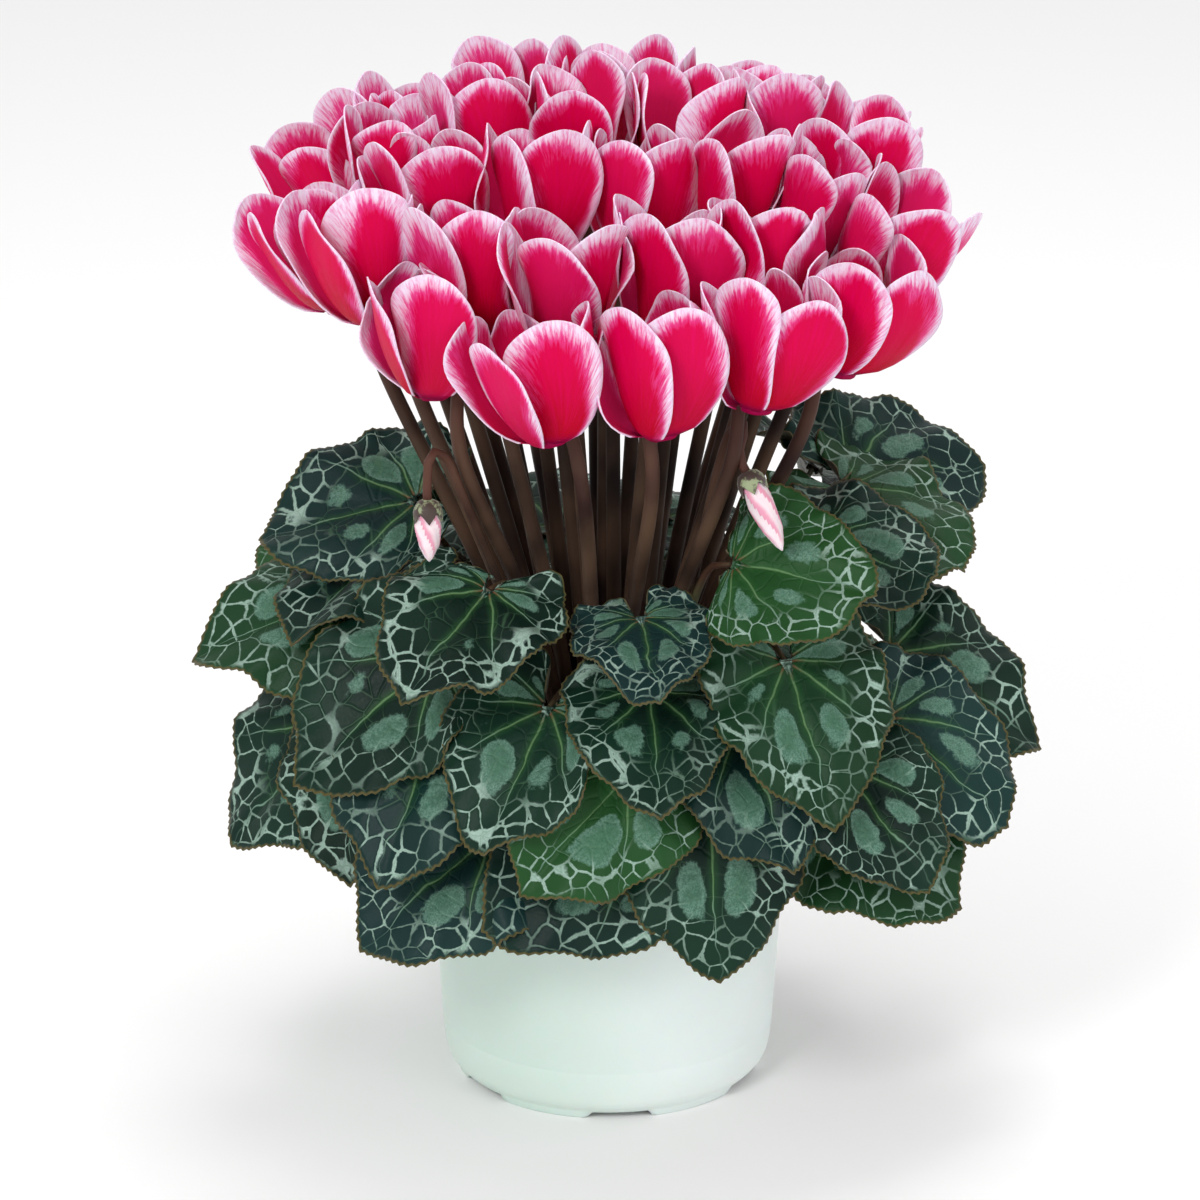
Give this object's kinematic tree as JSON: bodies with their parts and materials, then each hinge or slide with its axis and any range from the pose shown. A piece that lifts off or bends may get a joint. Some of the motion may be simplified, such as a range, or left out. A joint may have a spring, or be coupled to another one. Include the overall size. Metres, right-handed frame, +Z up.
{
  "type": "potted cyclamen",
  "caption": "Flowering cyclamen in a round nursery pot: marbled heart-shaped leaves round a dome of swept-back, white-edged flowers on long stalks, standing on its foot ring.",
  "frame": {"origin": "centre of the flat pad in the middle of the pot's base, which stands on the surface", "axes": "+Z up along the pot's axis to the flowers, -Y towards the front that the buds hang at, +X to the right of that front"},
  "size_m": [0.2931, 0.2547, 0.3547],
  "materials": {
    "pot_plastic": "smooth satin, slightly see-through white polypropylene",
    "soil": "rough dark peat crumbs",
    "stalk": "satin brown-red skin with fine short hairs",
    "leaf": "satin green with silver marbling and pale veins",
    "petal": "velvety crimson with a feathered white margin",
    "bud": "satin pink and white, furled"
  },
  "bodies": {
    "root": {"bloom_01": "petal", "bloom_02": "petal", "bloom_03": "petal", "bloom_04": "petal", "bloom_05": "petal", "bloom_06": "petal", "bloom_07": "petal", "bloom_08": "petal", "bloom_09": "petal", "bloom_10": "petal", "bloom_11": "petal", "bloom_12": "petal", "bloom_13": "petal", "bloom_14": "petal", "bloom_15": "petal", "bloom_16": "petal", "bloom_17": "petal", "bloom_18": "petal", "bloom_19": "petal", "bloom_20": "petal", "bloom_21": "petal", "bloom_22": "petal", "bloom_23": "petal", "bloom_group_01": "petal", "bloom_group_02": "petal", "bloom_group_03": "petal", "bloom_group_04": "petal", "bud_01": "bud", "bud_02": "bud", "leaf_01": "leaf", "leaf_02": "leaf", "leaf_03": "leaf", "leaf_04": "leaf", "leaf_05": "leaf", "leaf_06": "leaf", "leaf_07": "leaf", "leaf_08": "leaf", "leaf_09": "leaf", "leaf_10": "leaf", "leaf_11": "leaf", "leaf_12": "leaf", "leaf_13": "leaf", "leaf_14": "leaf", "leaf_15": "leaf", "leaf_16": "leaf", "leaf_17": "leaf", "leaf_18": "leaf", "leaf_19": "leaf", "leaf_20": "leaf", "leaf_fan_01": "leaf", "leaf_fan_02": "leaf", "leaf_fan_03": "leaf", "leaf_fan_04": "leaf", "leaf_fan_05": "leaf", "leaf_fan_06": "leaf", "leaf_fan_07": "leaf", "leaf_fan_08": "leaf", "pot": "pot_plastic", "soil": "soil", "tuber_and_stalks": "stalk"}
  },
  "joints": []
}
